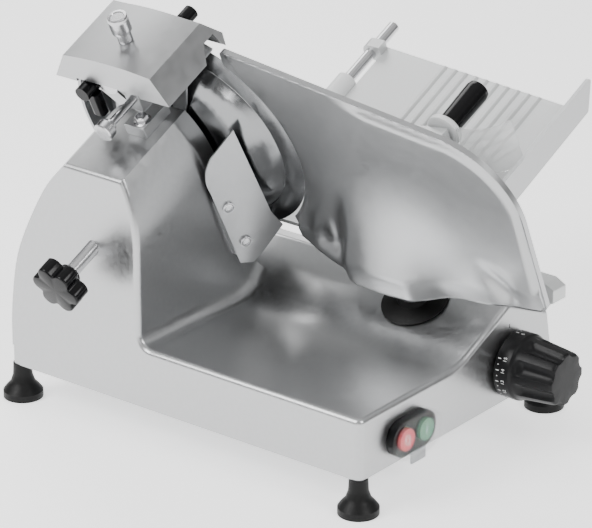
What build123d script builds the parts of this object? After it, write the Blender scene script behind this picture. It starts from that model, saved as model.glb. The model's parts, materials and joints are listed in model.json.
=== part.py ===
from build123d import *
import os
from math import cos, radians, sin

os.makedirs("parts", exist_ok=True)

# Gravity-feed deli slicer. Millimetres. Origin on the worktop, in the middle of the four feet.
# +X is the operator's right (carriage side), +Y is away from the operator, +Z is up.

# ---- driving dimensions ------------------------------------------------------------------
TILT = 25.0              # lean of the whole cutting head, degrees about +Y
BLADE_R = 125.0          # 250 mm blade
BLADE_Y = 106.0          # blade axis, from the machine's middle
BLADE_Z = 262.0          # blade centre height
WALL = 4.0               # casting wall
FIT = 0.05               # radial clearance of a running fit

FOOT_X, FOOT_Y = 150.0, 210.0
FOOT_H = 36.5            # underside of the base
FOOT_R = 20.0
BASE_LEFT = -158.0
BASE_RIGHT = 156.0       # at the underside; the right face leans in above it
BASE_HALF_Y = 218.0
DECK_Z = 99.0            # slice deck
SHOULDER_X, SHOULDER_Z = 143.0, 108.0
RAMP_V = -145.5          # ramp plane, measured square to the blade axis
CREST_S = 16.0           # top of the ramp, along the blade axis
CORNER_R = 8.0

NOSE_S = -30.0           # tower end face, along the blade axis
NOSE_DRAFT = 9.0         # how far the nose draws in over its last 25 mm
RIM_R = 6.0              # left wall into the tower and the deck
TOWER_FOOT_R = 14.0      # tower into the deck
TOWER_SEAM_R = 12.0
TOWER_FRONT_U = -56.0
TOWER_TOP_V = 70.0

EDGE_S = 5.0             # cutting edge plane
HUB_BACK_S = -26.0       # back of the blade's hub
HUB_FRONT_S = -22.0
SHAFT_R = 10.0
TIE_R = 5.0
TIE_GRIP_R = 7.0
STAR_S = -216.0          # near face of the star knob

PULLEY_S = -54.0
PULLEY_W = 14.0
PULLEY_R = 36.0
MOTOR_U, MOTOR_V = 40.0, -118.0
MOTOR_R = 50.0
MOTOR_PULLEY_R = 18.0
PLATE_S = -61.0          # front of the mounting plate inside the tower
PLATE_T = 5.0

GAUGE_BACK_S = -1.0
GAUGE_FACE_S = 4.6
GAUGE_CUT_R = 127.8
GAUGE_LOW_V = -118.0
GAUGE_TRAVEL = 13.0
POST_U, POST_S = -232.0, -14.0
POST_R = 10.0
BOOT_R = 34.0
GUIDE_V = -177.0
GUIDE_R = 6.0

KNOB_X, KNOB_Z = 80.0, 74.0
KNOB_TURN = 300.0        # degrees from closed to fully open
CAM_START = 14.0         # groove radius with the gauge closed
CAM_R = 33.0
FOLLOWER_R = 4.0

SWITCH_X, SWITCH_Z = -86.0, 62.5
BUTTON_PITCH = 30.0
BUTTON_R = 11.0

TRAY_V = -110.0          # tray surface
TRAY_T = 5.0
TRAY_NEAR_S = 8.5
TRAY_FRONT_Y = -162.0
TRAY_REAR_Y = 86.0
TRAY_FAR_FRONT_S = 243.0
TRAY_FAR_REAR_S = 259.0
ROD_Y, ROD_V = 98.0, -110.0
ROD_R = 6.0
SLEEVE_S0, SLEEVE_S1 = 166.0, 202.0
SLEEVE_R = 11.0
RAIL_X, RAIL_Z = 127.0, 70.0
RAIL_R = 9.0
ARM_Y = 20.0             # half width of the carriage arm in the wall slot
CARRIAGE_BACK, CARRIAGE_FRONT = 130.0, 110.0

# ---- frames ------------------------------------------------------------------------------
N = Vector(cos(radians(TILT)), 0, sin(radians(TILT)))        # blade axis, to the carriage
M = Vector(-sin(radians(TILT)), 0, cos(radians(TILT)))       # square to it, upward
Y = Vector(0, 1, 0)
CENTRE = Vector(0, BLADE_Y, BLADE_Z)
HEAD = Plane(origin=CENTRE, x_dir=Y, z_dir=N)                # local x is u (+Y), y is v (+M)
RADIAL = Plane(origin=CENTRE, x_dir=M, z_dir=Y)              # local x is radius, y along N
HEAD_AXIS = Axis(CENTRE, N)


def at(u, v, s):
    """Point of the row frame from head coordinates: u along +Y, v along M, s along N."""
    return CENTRE + Y * u + M * v + N * s


def across(u, v, s=0.0):
    """Plane square to the blade axis, with its origin at head coordinates u, v, s."""
    return Plane(origin=at(u, v, s), x_dir=Y, z_dir=N)


def upward(u, v, s):
    """Plane square to M: local x is +Y and local y is -N."""
    return Plane(origin=at(u, v, s), x_dir=Y, z_dir=M)


def side(y):
    """Plane square to +Y at the given row y: local x is M and local y is N."""
    return Plane(origin=Vector(0, y, BLADE_Z), x_dir=M, z_dir=Y)


def turn(profile, plane=RADIAL, axis=HEAD_AXIS, mode=Mode.ADD):
    """Revolve a closed profile of (radius, distance along the axis) points."""
    with BuildSketch(plane) as section:
        with BuildLine():
            Polyline(*profile, close=True)
        make_face()
    revolve(section.sketch, axis=axis, mode=mode)


def bar(plane, radius, length, mode=Mode.ADD):
    """Round bar standing on a plane."""
    with BuildSketch(plane) as section:
        Circle(radius)
    extrude(section.sketch, amount=length, mode=mode)


def block(plane, width, height, length, mode=Mode.ADD, corner=0.0):
    """Rectangular bar standing on a plane, with optional rounded corners."""
    with BuildSketch(plane) as section:
        if corner > 0:
            RectangleRounded(width, height, corner)
        else:
            Rectangle(width, height)
    extrude(section.sketch, amount=length, mode=mode)


def prism(plane, points, length, mode=Mode.ADD):
    """Straight-sided prism standing on a plane."""
    with BuildSketch(plane) as section:
        with BuildLine():
            Polyline(*points, close=True)
        make_face()
    extrude(section.sketch, amount=length, mode=mode)


def tube(plane, outer, inner, length):
    """Hollow round bar standing on a plane."""
    with BuildSketch(plane) as section:
        Circle(outer)
        Circle(inner, mode=Mode.SUBTRACT)
    extrude(section.sketch, amount=length)


def save(builder, label):
    """Label a finished piece and write its STEP file."""
    builder.part.label = label
    export_step(builder.part, f"parts/{label}.step")
    solids = builder.part.solids()
    print(f"{label:24s} {len(solids)} solids  {builder.part.volume / 1000:9.1f} cm3")


# ---- base housing: one casting, deck, ramp and tower ---------------------------------------
def ramp_point(s):
    """(x, z) on the ramp plane at a distance s along the blade axis."""
    point = at(0, RAMP_V, s)
    return point.X, point.Z


def base_outline(inset):
    """Side outline of the base: left wall, deck, ramp, crest and the leaning right face."""
    rise = (DECK_Z - at(0, RAMP_V, 0).Z) / sin(radians(TILT))
    ramp_foot = ramp_point(rise)
    crest = ramp_point(CREST_S)
    with BuildSketch(Plane.XZ.offset(-(BASE_HALF_Y - inset))) as outline:
        with BuildLine():
            Polyline(
                (BASE_LEFT, FOOT_H), (BASE_LEFT, DECK_Z), ramp_foot, crest,
                (SHOULDER_X, SHOULDER_Z), (BASE_RIGHT, FOOT_H), close=True,
            )
        make_face()
        for knee, radius in ((ramp_foot, 80), (crest, 8), ((SHOULDER_X, SHOULDER_Z), 8)):
            fillet(outline.vertices().sort_by_distance((*knee, 0))[0], radius)
        if inset:
            offset(amount=-inset, kind=Kind.INTERSECTION)
    return outline.sketch


BACK_ENDS = ((1, -0.85), (0, -1))                             # directions at the top and the foot
BACK_LINE = Spline((33, TOWER_TOP_V), (54, 50), (81, 8), (97, -25), (105, -60), (109, -110), tangents=BACK_ENDS)


def tower_outline(s, inset):
    """Tower outline square to the blade axis: straight front, leaning back."""
    front_u, top_v = TOWER_FRONT_U + inset, TOWER_TOP_V - inset
    back_points = [(33 - 0.4 * inset, top_v)]
    for share in (0.15, 0.3, 0.45, 0.6, 0.75, 0.9, 1.0):
        point, along = BACK_LINE @ share, BACK_LINE % share
        back_points.append((point.X + along.Y * inset, point.Y - along.X * inset))
    with BuildSketch(HEAD.offset(s)) as outline:
        with BuildLine():
            front = Line((front_u, -280), (front_u, 5))
            shoulder = ThreePointArc(front @ 1, (front_u + 5, 40 - inset / 2), (front_u + 18, top_v))
            Line(shoulder @ 1, back_points[0])
            back = Spline(*back_points, tangents=BACK_ENDS)
            heel = Line(back @ 1, (109 - inset, -280))
            Line(heel @ 1, front @ 0)
        make_face()
    return outline.sketch


def base_solid(inset):
    """The casting's outside, or its inside when inset by the wall."""
    with BuildPart() as deck_body:
        extrude(base_outline(inset), amount=2 * (BASE_HALF_Y - inset))
        with BuildSketch(Plane.XY.offset(FOOT_H)) as plan:
            with Locations(((BASE_LEFT + BASE_RIGHT) / 2, 0)):
                RectangleRounded(
                    BASE_RIGHT - BASE_LEFT - 2 * inset, 2 * (BASE_HALF_Y - inset), CORNER_R - inset / 2
                )
        extrude(plan.sketch, amount=200, mode=Mode.INTERSECT)
    with BuildPart() as tower:
        extrude(tower_outline(-260, inset), amount=205)
        loft([tower_outline(-55, inset).face(), tower_outline(NOSE_S - inset, inset + NOSE_DRAFT).face()], ruled=True)
        with BuildSketch(Plane.XY.offset(FOOT_H + 20)) as keep:
            with Locations((BASE_LEFT + inset + 200, 0)):
                Rectangle(400, 2 * (BASE_HALF_Y - inset))
        extrude(keep.sketch, amount=400, mode=Mode.INTERSECT)
        if not inset:
            above = tower.edges().filter_by_position(Axis.Z, 100, 400)
            fillet([e for e in above if abs((e.center() - CENTRE).dot(N) + 55) < 1.5], TOWER_SEAM_R)
    return deck_body.part, tower.part


deck_outside, tower_outside = base_solid(0)
deck_inside, tower_inside = base_solid(WALL)


def lies_on(edge, value, pick):
    """True when an edge's ends and middle all have one coordinate equal to value."""
    return all(abs(pick(edge @ share) - value) < 0.2 for share in (0, 0.5, 1))


with BuildPart() as housing_outside:
    add(deck_outside)
    add(tower_outside)
    wall_line = BLADE_Y + TOWER_FRONT_U
    foot_line = [e for e in housing_outside.edges() if lies_on(e, wall_line, lambda p: p.Y)]
    fillet([e for e in foot_line if 90 < (e @ 0.5).Z < DECK_Z + 12], TOWER_FOOT_R)
    left_rim = [e for e in housing_outside.edges() if lies_on(e, BASE_LEFT, lambda p: p.X)]
    fillet([e for e in left_rim if (e @ 0.5).Z > 95 and (e @ 0.5).Y < 130], RIM_R)


def placed(plane, origin):
    """The same plane moved to another origin."""
    return Plane(origin=origin, x_dir=plane.x_dir, z_dir=plane.z_dir)


DEFLECTOR_DIR = (N * 41 - Y * 25).normalized()                # runs from the tower to the blade
DEFLECTOR = Plane(origin=at(-62.5, 0, -58), x_dir=DEFLECTOR_DIR, z_dir=DEFLECTOR_DIR.cross(M))
DEFLECTOR_SCREWS = ((5.2, -34.0), (9.3, -82.7))
FRONT = Plane.XZ.offset(BASE_HALF_Y)                          # the operator's face, outward
BOSS_PLACES = [(x, y) for x in (-FOOT_X, FOOT_X) for y in (-FOOT_Y, FOOT_Y)]

with BuildPart() as corner_bosses:
    with BuildSketch(Plane.XY.offset(FOOT_H)) as boss_section:
        with Locations(*BOSS_PLACES):
            Circle(10)
    extrude(boss_section.sketch, amount=24)
    add(deck_outside, mode=Mode.INTERSECT)

with BuildPart() as base_housing:
    add(housing_outside.part)
    add(deck_inside, mode=Mode.SUBTRACT)
    add(tower_inside, mode=Mode.SUBTRACT)
    block(Plane.XY.offset(FOOT_H - 1), 306, 428, 6, Mode.SUBTRACT)
    add(corner_bosses.part)
    for x, y in BOSS_PLACES:
        bar(Plane((x, y, FOOT_H)), 4, 20, Mode.SUBTRACT)
    prism(                                            # pad that carries the slice deflector
        upward(0, -95, 0),
        ((-60.3, 61.4), (-71.8, 42.6), (-55, 44), (-55, 61.4)), 70,
    )
    for p, v in DEFLECTOR_SCREWS:
        bar(placed(DEFLECTOR, at(-62.5, 0, -58) + DEFLECTOR_DIR * p + M * v), 2.5, -16, Mode.SUBTRACT)
    bar(across(0, 0, NOSE_S - 6), 14, 10, Mode.SUBTRACT)                      # blade shaft
    bar(across(0, 0, -190), TIE_GRIP_R + FIT, 40, Mode.SUBTRACT)              # tie rod
    with BuildSketch(upward(POST_U, RAMP_V - 10, POST_S - GAUGE_TRAVEL / 2)) as post_slot:
        SlotCenterToCenter(GAUGE_TRAVEL, 2 * POST_R + 3, rotation=90)
    extrude(post_slot.sketch, amount=20, mode=Mode.SUBTRACT)
    bar(Plane((KNOB_X, 0, KNOB_Z), z_dir=-Y).offset(BASE_HALF_Y - 8), 6 + FIT, 10, Mode.SUBTRACT)
    with BuildSketch(FRONT.offset(-8)) as switch_window:
        with Locations((SWITCH_X, SWITCH_Z)):
            RectangleRounded(58, 27, 1.2)
    extrude(switch_window.sketch, amount=10, mode=Mode.SUBTRACT)
    with BuildSketch(Plane.YZ.offset(130)) as arm_slot:
        with Locations(((CARRIAGE_BACK - CARRIAGE_FRONT) / 2, 68)):
            SlotOverall(CARRIAGE_BACK + CARRIAGE_FRONT + 2 * ARM_Y + 26, 20)
    extrude(arm_slot.sketch, amount=40, mode=Mode.SUBTRACT)
    bar(Plane((-100, BASE_HALF_Y - 8, 62), z_dir=Y), 8, 10, Mode.SUBTRACT)    # cable gland
save(base_housing, "base_housing")

# ---- base furniture ------------------------------------------------------------------------
with BuildPart() as bottom_cover:
    with BuildSketch(Plane.XY.offset(FOOT_H + 0.5)) as cover_plan:
        Rectangle(305, 427)
        with Locations(*BOSS_PLACES):
            Circle(10.5, mode=Mode.SUBTRACT)
    extrude(cover_plan.sketch, amount=1.5)
    with Locations((-61, -212.4, FOOT_H - 7)):
        Box(22, 2, 17)                                # small earth lug hanging below the edge
save(bottom_cover, "bottom_cover")

with BuildPart() as feet:
    for x, y in BOSS_PLACES:
        turn(
            ((0, 0), (FOOT_R, 0), (FOOT_R, 7), (17, 11), (12.5, 16), (9.8, 24), (9.2, FOOT_H),
             (4, FOOT_H), (4, 14), (0, 14)),
            Plane((x, y, 0), x_dir=(1, 0, 0), z_dir=(0, -1, 0)), Axis((x, y, 0), (0, 0, 1)),
        )
save(feet, "feet")

with BuildPart() as foot_studs:
    for x, y in BOSS_PLACES:
        bar(Plane((x, y, 14)), 4, 42)
save(foot_studs, "foot_studs")

with BuildPart() as cable_gland:
    gland_plane = Plane((-100, BASE_HALF_Y, 62), x_dir=(1, 0, 0), z_dir=(0, 0, 1))
    turn(
        ((4.2, -6), (8, -6), (8, 0), (11, 0), (11, 6), (8.5, 9), (7, 16), (4.2, 16)),
        gland_plane, Axis((-100, BASE_HALF_Y, 62), (0, 1, 0)),
    )
save(cable_gland, "cable_gland")

with BuildPart() as control_board:
    with Locations((-95, -120, 55)):
        Box(90, 70, 2)
    for x, y, width, depth, height in ((-115, -130, 19, 15, 16), (-90, -130, 19, 15, 16), (-75, -105, 30, 20, 9)):
        with Locations((x, y, 56 + height / 2)):
            Box(width, depth, height)
    with BuildSketch(Plane.XY.offset(FOOT_H + 2)) as pillars:
        with Locations((-95, -120)):
            with GridLocations(80, 60, 2, 2):
                Circle(3)
    extrude(pillars.sketch, amount=54 - FOOT_H - 2)
save(control_board, "control_board")

with BuildPart() as run_capacitor:
    bar(Plane((-110, -40, FOOT_H + 17), z_dir=Y), 15, 62)
save(run_capacitor, "run_capacitor")

# ---- drive: mounting plate, motor, belt, bearings --------------------------------------------
with BuildPart() as mounting_plate:
    prism(
        HEAD.offset(PLATE_S - PLATE_T),
        ((-52, -165), (-52, 3), (-43, 38), (42, 38), (70, 8), (86, -20), (96, -60), (96, -165)), PLATE_T,
    )
    bar(HEAD.offset(PLATE_S - 8), 24, 12, Mode.SUBTRACT)
    bar(across(MOTOR_U, MOTOR_V, PLATE_S - 8), 12, 12, Mode.SUBTRACT)
save(mounting_plate, "mounting_plate")

HOUSE_S = PLATE_S - PLATE_T
with BuildPart() as bearing_housing:
    turn(
        ((23.5, HOUSE_S - 54), (29, HOUSE_S - 54), (29, HOUSE_S - 4), (38, HOUSE_S - 4),
         (38, HOUSE_S), (23.5, HOUSE_S)),
    )
save(bearing_housing, "bearing_housing")

with BuildPart() as bearings:
    for start in (HOUSE_S - 54, HOUSE_S - 14):
        tube(HEAD.offset(start), 23.5, SHAFT_R + FIT, 14)
save(bearings, "bearings")

with BuildPart() as motor_body:
    turn(
        ((7.1, 0), (20, 0), (20, -4), (MOTOR_R, -4), (MOTOR_R, -92), (44, -104), (0, -104), (0, -26), (7.1, -26)),
        placed(RADIAL, at(MOTOR_U, MOTOR_V, HOUSE_S)), Axis(at(MOTOR_U, MOTOR_V, 0), N),
    )
save(motor_body, "motor_body")

with BuildPart() as motor_pulley:
    bar(across(MOTOR_U, MOTOR_V, HOUSE_S - 24), 7, 52)
    bar(across(MOTOR_U, MOTOR_V, PULLEY_S), MOTOR_PULLEY_R, PULLEY_W)
save(motor_pulley, "motor_pulley")


def belt_loop(gap):
    """Closed belt line around both pulleys at a distance outside them."""
    with BuildSketch(HEAD.offset(PULLEY_S + 1)) as loop:
        Circle(PULLEY_R + gap)
        with Locations((MOTOR_U, MOTOR_V)):
            Circle(MOTOR_PULLEY_R + gap)
        make_hull()
    return loop.sketch


with BuildPart() as drive_belt:
    extrude(belt_loop(3), amount=PULLEY_W - 2)
    extrude(belt_loop(0.1), amount=PULLEY_W - 2, mode=Mode.SUBTRACT)
save(drive_belt, "drive_belt")

# ---- blade -----------------------------------------------------------------------------------
SCREW_SPOTS = [(26 * cos(radians(a)), 26 * sin(radians(a))) for a in (90, 210, 330)]

with BuildPart() as blade:
    turn(
        ((20, HUB_BACK_S), (57, HUB_BACK_S), (66, -25), (82, -20.5), (96, -12), (103, -3), (104.5, -0.6),
         (112, 0.6), (BLADE_R, 4.7), (BLADE_R, EDGE_S), (118, 4.6), (106, 3.4), (101, 1.5), (93, -8.5),
         (80, -16.5), (64, -21.2), (56, HUB_FRONT_S), (20, HUB_FRONT_S)),
    )
    for u, v in SCREW_SPOTS:
        bar(across(u, v, HUB_BACK_S - 1), 2.5, 6, Mode.SUBTRACT)
save(blade, "blade")

with BuildPart() as blade_shaft:
    turn(
        ((TIE_R + 0.4, -132), (SHAFT_R, -132), (SHAFT_R, NOSE_S + 0.5), (32, NOSE_S + 0.5),
         (32, HUB_BACK_S), (20, HUB_BACK_S), (20, HUB_FRONT_S), (TIE_R + 0.4, HUB_FRONT_S)),
    )
    for u, v in SCREW_SPOTS:
        bar(across(u, v, NOSE_S), 2.5, 6, Mode.SUBTRACT)
save(blade_shaft, "blade_shaft")

with BuildPart() as blade_pulley:
    tube(HEAD.offset(PULLEY_S), PULLEY_R, SHAFT_R, PULLEY_W)
save(blade_pulley, "blade_pulley")

with BuildPart() as blade_screws:
    for u, v in SCREW_SPOTS:
        bar(across(u, v, NOSE_S + 0.7), 2.5, HUB_FRONT_S - NOSE_S - 0.7)
        bar(across(u, v, HUB_FRONT_S), 5, 3)
save(blade_screws, "blade_screws")

with BuildPart() as blade_cover:
    turn(
        ((TIE_R, -8), (10, -8), (10, 1.6), (96, 1.6), (98.5, 2.4), (99, 3.2), (98, 4.2), (0, 4.6), (0, -1), (TIE_R, -1)),
    )
save(blade_cover, "blade_cover")

with BuildPart() as tie_rod:
    turn(((0, -230), (TIE_GRIP_R, -230), (TIE_GRIP_R, -150), (TIE_R, -148), (TIE_R, -1), (0, -1)))
save(tie_rod, "tie_rod")

with BuildPart() as star_knob:
    with BuildSketch(HEAD.offset(STAR_S - 20)) as star:
        Circle(20)
        with PolarLocations(19.5, 6):
            Circle(7.5)
    extrude(star.sketch, amount=18)
    bar(HEAD.offset(STAR_S - 2), 11, 8)
    bar(HEAD.offset(-231), TIE_GRIP_R + FIT, 30, Mode.SUBTRACT)
save(star_knob, "star_knob")

# ---- fixed guards ------------------------------------------------------------------------------
with BuildPart() as ring_guard:
    turn(((127.3, -19), (131, -19), (131, 6.5), (127.3, 6.5)))
    for angle in (110, 40, -15, -70, -105):
        a = radians(angle)
        outward = Y * cos(a) + M * sin(a)
        block(Plane(origin=at(88 * cos(a), 88 * sin(a), NOSE_S), x_dir=outward, z_dir=N), 84, 16, 2.8)
        block(Plane(origin=at(123 * cos(a), 123 * sin(a), NOSE_S), x_dir=outward, z_dir=N), 15, 16, 12)
    prism(                                            # open over the cutting side
        HEAD.offset(-40),
        ((0, 0), (200 * cos(radians(116)), 200 * sin(radians(116))), (-300, 150), (-300, -180),
         (200 * cos(radians(249)), 200 * sin(radians(249)))), 60, Mode.SUBTRACT,
    )
    block(across(6, 130, -40), 52, 60, 60, Mode.SUBTRACT)        # gap for the sharpening stones
    bar(HEAD.offset(-40), 45, 30, Mode.SUBTRACT)
save(ring_guard, "ring_guard")

with BuildPart() as deflector_plate:
    with BuildSketch(DEFLECTOR) as deflector_outline:
        with BuildLine():
            slope = Line((36.8, 49), (12, 33))
            bulge = ThreePointArc(slope @ 1, (-4, 14), (-6, -8))
            Polyline(bulge @ 1, (-3, -105.8), (10, -112.5), (20.5, -106.7), (49.7, -85.7), (43.3, -65), slope @ 0)
        make_face()
        with Locations(*DEFLECTOR_SCREWS):
            Circle(2.5, mode=Mode.SUBTRACT)
    extrude(deflector_outline.sketch, amount=2)
save(deflector_plate, "deflector_plate")

with BuildPart() as deflector_screws:
    for p, v in DEFLECTOR_SCREWS:
        screw_base = placed(DEFLECTOR, at(-62.5, 0, -58) + DEFLECTOR_DIR * p + M * v)
        bar(screw_base.offset(-12), 2.5, 14)
        bar(screw_base.offset(2), 5.8, 2.6)
save(deflector_screws, "deflector_screws")

# ---- sharpener -----------------------------------------------------------------------------------
SHARP_V = 112.0                                       # top of the bracket post
SIDE_U, SIDE_V = -5.0, 99.0
with BuildPart() as sharpener_bracket:
    block(upward(-13.5, TOWER_TOP_V, -64), 25, 40, 13)
    block(upward(-3, TOWER_TOP_V + 13, -57), 18, 14, SHARP_V - TOWER_TOP_V - 13.3)
    bar(across(SIDE_U, SIDE_V, -90), 4 + FIT, 60, Mode.SUBTRACT)
save(sharpener_bracket, "sharpener_bracket")

with BuildPart() as bracket_screw:
    bar(upward(-18, TOWER_TOP_V + 13, -74), 8.5, 1.6)
    with BuildSketch(upward(-18, TOWER_TOP_V + 14.6, -74)) as hexagon:
        RegularPolygon(6.5, 6)
    extrude(hexagon.sketch, amount=5.5)
save(bracket_screw, "bracket_screw")

LEVER_U, LEVER_V = 31.0, 118.0
STONE_U, STONE_V = 8.0, 127.0
DEBURR_U, DEBURR_V = -10.0, 125.0
TOP_KNOB_U, TOP_KNOB_S = -6.0, -47.0
with BuildPart() as sharpener_body:
    block(upward(2, SHARP_V, -52), 74, 36, 8)
    bar(upward(TOP_KNOB_U, SHARP_V + 8, TOP_KNOB_S), 7, 34.5)
    bar(upward(TOP_KNOB_U, SHARP_V + 8, TOP_KNOB_S), 3 + FIT, 34.5, Mode.SUBTRACT)
    block(across(STONE_U, STONE_V - 1, -60), 18, 17, 12)
    bar(across(STONE_U, STONE_V, -72), 5 + FIT, 44, Mode.SUBTRACT)
    bar(across(LEVER_U, LEVER_V, -74), 4 + FIT, 20, Mode.SUBTRACT)
save(sharpener_body, "sharpener_body")


def cover_section(s, inset):
    """Trapezoid with a crowned top; the inset one is open downward."""
    with BuildSketch(HEAD.offset(s)) as section:
        with BuildLine():
            crown = ThreePointArc((-60 + inset, 156 - inset), (-6, 160 - inset), (48 - inset, 156 - inset))
            Polyline(crown @ 1, (70 - inset, 123), (70 - inset, 100), (-73 + inset, 100), (-73 + inset, 123), crown @ 0)
        make_face()
    return section.sketch


def cover_side(points):
    """Side view of the cover as a bar across the machine, from (s, v) points."""
    with BuildSketch(side(0)) as section:
        with BuildLine():
            Polyline(*[(v, s) for s, v in points], close=True)
        make_face()
    return section.sketch


with BuildPart() as sharpener_cover:
    extrude(cover_section(-82, 0), amount=97)
    extrude(
        cover_side(((-82, 124), (-82, 170), (-1, 170), (-1, 158), (15, 134), (10, 123),
                    (7.5, 127), (5, 140), (-10, 140), (-21, 124))),
        amount=300, mode=Mode.INTERSECT,
    )
    with BuildPart(mode=Mode.PRIVATE) as cover_inside:
        extrude(cover_section(-79, 3), amount=94)
        extrude(
            cover_side(((-79, 90), (-79, 170), (-2.5, 170), (-2.5, 155), (12, 133.3), (9, 126), (9, 90))),
            amount=300, mode=Mode.INTERSECT,
        )
    add(cover_inside.part, mode=Mode.SUBTRACT)
    bar(upward(TOP_KNOB_U, 140, TOP_KNOB_S), 3.3, 40, Mode.SUBTRACT)
    bar(across(DEBURR_U, DEBURR_V, 5), 3.3, 20, Mode.SUBTRACT)
    block(across(3, 122, -84), 78, 12, 8, Mode.SUBTRACT)      # relief in the lower front edge
save(sharpener_cover, "sharpener_cover")

with BuildPart() as top_knob:
    bar(upward(TOP_KNOB_U, 128, TOP_KNOB_S), 3, 32.3)
    bar(upward(TOP_KNOB_U, 160.3, TOP_KNOB_S), 7.2, 12)
    bar(upward(TOP_KNOB_U, 172.3, TOP_KNOB_S), 10, 18)
save(top_knob, "top_knob")

with BuildPart() as side_screw:
    bar(across(SIDE_U, SIDE_V, -105), 4, 60)
    bar(across(SIDE_U, SIDE_V, -115), 10, 10)
    bar(across(SIDE_U, SIDE_V, -105), 6.5, 4)
save(side_screw, "side_screw")

with BuildPart() as lock_lever:
    bar(across(LEVER_U, LEVER_V, -92), 8, 21.5)
    bar(across(LEVER_U, LEVER_V, -70.5), 4, 12)
    block(upward(LEVER_U - 3, 86, -80), 14, 11, 26, corner=4)
save(lock_lever, "lock_lever")

with BuildPart() as stone_shaft:
    bar(across(STONE_U, STONE_V, -78), 5, 64)
    bar(across(STONE_U, STONE_V, -78), 13, 4)
save(stone_shaft, "stone_shaft")

with BuildPart() as grinding_stone:
    bar(across(STONE_U, STONE_V, -14), 17, 8)
save(grinding_stone, "grinding_stone")

with BuildPart() as deburring_stone:
    bar(across(DEBURR_U, DEBURR_V, 6.6), 6.5, 2)
save(deburring_stone, "deburring_stone")

with BuildPart() as deburr_knob:
    bar(across(DEBURR_U, DEBURR_V, 8.6), 3, 15.4)
    bar(across(DEBURR_U, DEBURR_V, 24), 7.5, 14)
save(deburr_knob, "deburr_knob")

# ---- thickness gauge -------------------------------------------------------------------------------
with BuildPart() as gauge_plate:
    with BuildSketch(HEAD.offset(GAUGE_BACK_S)) as gauge_outline:
        with BuildLine():
            Polyline(
                (-72, 100), (-72, 125.4), (-394, 74.7), (-387.5, GAUGE_LOW_V), (-160, GAUGE_LOW_V),
                (-96, -106), (-92, -80), (0, 0), close=True,
            )
        make_face()
        fillet(gauge_outline.vertices().sort_by_distance((-394, 74.7, 0))[0], 88)
        fillet(gauge_outline.vertices().sort_by_distance((-387.5, GAUGE_LOW_V, 0))[0], 7)
        fillet(gauge_outline.vertices().sort_by_distance((-72, 125.4, 0))[0], 5)
        Circle(GAUGE_CUT_R, mode=Mode.SUBTRACT)
    extrude(gauge_outline.sketch, amount=GAUGE_FACE_S - GAUGE_BACK_S)
save(gauge_plate, "gauge_plate")

FOOT_PLAN = ((-121, 10), (-160, 19), (-172, 29), (-180, 33))      # ledge along the lower edge, as (u, -s)
with BuildPart() as gauge_foot:
    prism(                                            # ledge behind the lower horn
        upward(0, GAUGE_LOW_V, 0), ((-98, -GAUGE_BACK_S), *FOOT_PLAN, (-180, -GAUGE_BACK_S)), 6,
    )
    with BuildSketch(Plane(origin=at(-180, 0, 0), x_dir=M, z_dir=-Y)) as skirt:
        with BuildLine():                             # local x is v, local y is -s
            Polyline(
                (-28, -GAUGE_BACK_S), (-60, 15), (-93, 34), (GAUGE_LOW_V, 36.5), (GAUGE_LOW_V, -GAUGE_BACK_S),
                close=True,
            )
        make_face()
    extrude(skirt.sketch, amount=70)
    prism(
        upward(0, GAUGE_LOW_V, 0),
        ((-250, -GAUGE_BACK_S), (-250, 35), (-267, 26), (-281, 17), (-316, 12), (-352, 6), (-380, -GAUGE_BACK_S)),
        20,
    )
save(gauge_foot, "gauge_foot")

with BuildPart() as gauge_post:
    bar(upward(POST_U, GUIDE_V + 13, POST_S), POST_R, GAUGE_LOW_V - GUIDE_V - 13)
save(gauge_post, "gauge_post")

with BuildPart() as gauge_boot:
    turn(
        ((POST_R, 1.2), (BOOT_R, 1.2), (BOOT_R, 2.6), (BOOT_R - 6, 4.5), (17, 7), (15, 16), (POST_R, 16)),
        Plane(origin=at(POST_U, RAMP_V, POST_S), x_dir=Y, z_dir=N), Axis(at(POST_U, RAMP_V, POST_S), M),
    )
save(gauge_boot, "gauge_boot")

FOLLOWER = Vector(KNOB_X, 0, KNOB_Z) - N * CAM_START
with BuildPart() as gauge_slide:
    block(upward(POST_U, GUIDE_V - 13, POST_S), 40, 32, 26)
    bar(across(POST_U, GUIDE_V, POST_S - 30), GUIDE_R + FIT, 60, Mode.SUBTRACT)
    prism(
        side(-151),
        ((-166, -26), (-166, -2), (-190, -2), (-211, -15), (-211, -27), (-196, -29)), 5,
    )
    bar(Plane((FOLLOWER.X, -165, FOLLOWER.Z), z_dir=Y), FOLLOWER_R, 14)
save(gauge_slide, "gauge_slide")

with BuildPart() as guide_bar:
    bar(across(POST_U, GUIDE_V, -60), GUIDE_R, 71)
save(guide_bar, "guide_bar")

with BuildPart() as guide_brackets:
    for s in (-60, 5):
        block(across(POST_U, (GUIDE_V - 9 + RAMP_V - WALL - 0.1) / 2, s), 30, RAMP_V - WALL - 0.1 - GUIDE_V + 9, 6)
        bar(across(POST_U, GUIDE_V, s - 1), GUIDE_R, 8, Mode.SUBTRACT)
    for y in (-BASE_HALF_Y + WALL, BASE_HALF_Y - WALL - 12):
        block(Plane((RAIL_X, y, RAIL_Z), z_dir=Y), 24, 24, 12)
        bar(Plane((RAIL_X, y - 1, RAIL_Z), z_dir=Y), RAIL_R, 14, Mode.SUBTRACT)
save(guide_brackets, "guide_brackets")


# ---- thickness knob ------------------------------------------------------------------------------------
def spiral(gap, steps=24):
    """Edge of the cam groove, seen along +Y as (x, z) about the spindle, at a gap off its middle."""
    points = []
    for i in range(-2, steps + 2):
        share = i / steps
        reach = CAM_START + GAUGE_TRAVEL * share + gap
        angle = radians(180 + TILT - KNOB_TURN * share)
        points.append((reach * cos(angle), reach * sin(angle)))
    return points


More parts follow.
